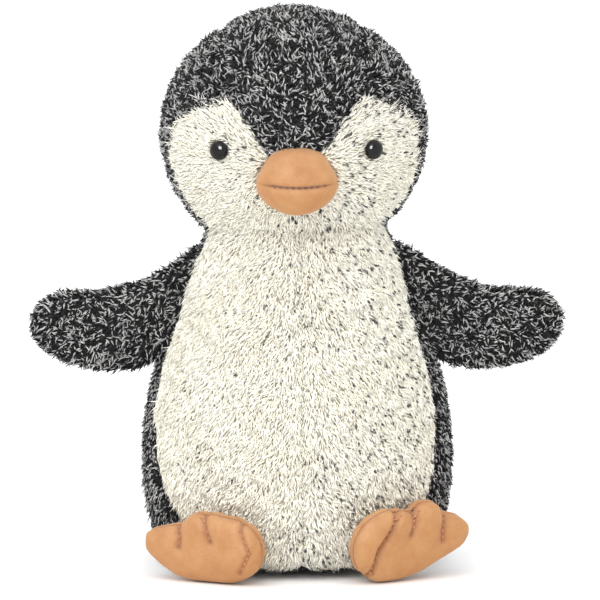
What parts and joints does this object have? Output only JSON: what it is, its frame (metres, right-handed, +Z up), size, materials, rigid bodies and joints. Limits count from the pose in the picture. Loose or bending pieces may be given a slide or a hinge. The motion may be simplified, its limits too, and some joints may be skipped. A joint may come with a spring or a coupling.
{
  "type": "plush penguin",
  "caption": "Seated stuffed penguin toy in dark and cream pile fabric with suede beak and feet; the head nods and turns, the flippers swing and the feet fold.",
  "frame": {"origin": "centre of the base that the toy sits on, under the middle of its body", "axes": "+Z up from the base to the crown, -Y the way the face looks, +X to the right of a person facing the toy"},
  "size_m": [0.2186, 0.1185, 0.23],
  "materials": {
    "dark_pile": "charcoal mid-length pile fabric",
    "cream_pile": "cream short pile fabric",
    "suede": "orange suede-like fabric",
    "eye_plastic": "polished black",
    "washer_plastic": "satin moulded",
    "fibre_fill": "loose white polyester fibre",
    "pouch_cloth": "plain woven cotton"
  },
  "bodies": {
    "torso": {"left_belly": "cream_pile", "right_belly": "cream_pile", "left_back": "dark_pile", "right_back": "dark_pile", "base_panel": "dark_pile", "torso_stuffing": "fibre_fill", "pellet_pouch": "pouch_cloth"},
    "neck": {"neck_stuffing": "fibre_fill"},
    "head": {"head_gusset": "dark_pile", "left_head_side": "dark_pile", "right_head_side": "dark_pile", "left_cheek": "cream_pile", "right_cheek": "cream_pile", "beak_upper": "suede", "beak_lower": "suede", "beak_stuffing": "fibre_fill", "left_eye": "eye_plastic", "right_eye": "eye_plastic", "left_eye_washer": "washer_plastic", "right_eye_washer": "washer_plastic", "head_stuffing": "fibre_fill"},
    "left_flipper": {"left_flipper_front": "dark_pile", "left_flipper_back": "dark_pile", "left_flipper_stuffing": "fibre_fill"},
    "left_foot": {"left_foot_sole": "suede", "left_foot_top": "suede", "left_foot_stuffing": "fibre_fill"},
    "right_flipper": {"right_flipper_front": "dark_pile", "right_flipper_back": "dark_pile", "right_flipper_stuffing": "fibre_fill"},
    "right_foot": {"right_foot_sole": "suede", "right_foot_top": "suede", "right_foot_stuffing": "fibre_fill"}
  },
  "joints": [
    {"name": "head_turn", "type": "hinge", "parent": "torso", "child": "neck", "pos_m": [0, 0, 0.138], "axis": [0, 0, 1], "range_deg": [-25, 25], "stiffness_Nm_per_rad": 0.12},
    {"name": "head_nod", "type": "hinge", "parent": "neck", "child": "head", "pos_m": [0, 0, 0.138], "axis": [1, 0, 0], "range_deg": [-12, 12], "stiffness_Nm_per_rad": 0.6},
    {"name": "right_flipper_swing", "type": "hinge", "parent": "torso", "child": "right_flipper", "pos_m": [0.0612, 0, 0.0995], "axis": [0.3387, 0, -0.9409], "range_deg": [-30, 70], "stiffness_Nm_per_rad": 0.02},
    {"name": "left_flipper_swing", "type": "hinge", "parent": "torso", "child": "left_flipper", "pos_m": [-0.0612, 0, 0.0995], "axis": [0.3387, 0, 0.9409], "range_deg": [-30, 70], "stiffness_Nm_per_rad": 0.02},
    {"name": "right_foot_fold", "type": "hinge", "parent": "torso", "child": "right_foot", "pos_m": [0.0415, -0.047, 0.007], "axis": [0.866, 0.5, 0], "range_deg": [0, 70], "stiffness_Nm_per_rad": 0.02},
    {"name": "left_foot_fold", "type": "hinge", "parent": "torso", "child": "left_foot", "pos_m": [-0.0415, -0.047, 0.007], "axis": [0.866, -0.5, 0], "range_deg": [0, 70], "stiffness_Nm_per_rad": 0.02}
  ]
}
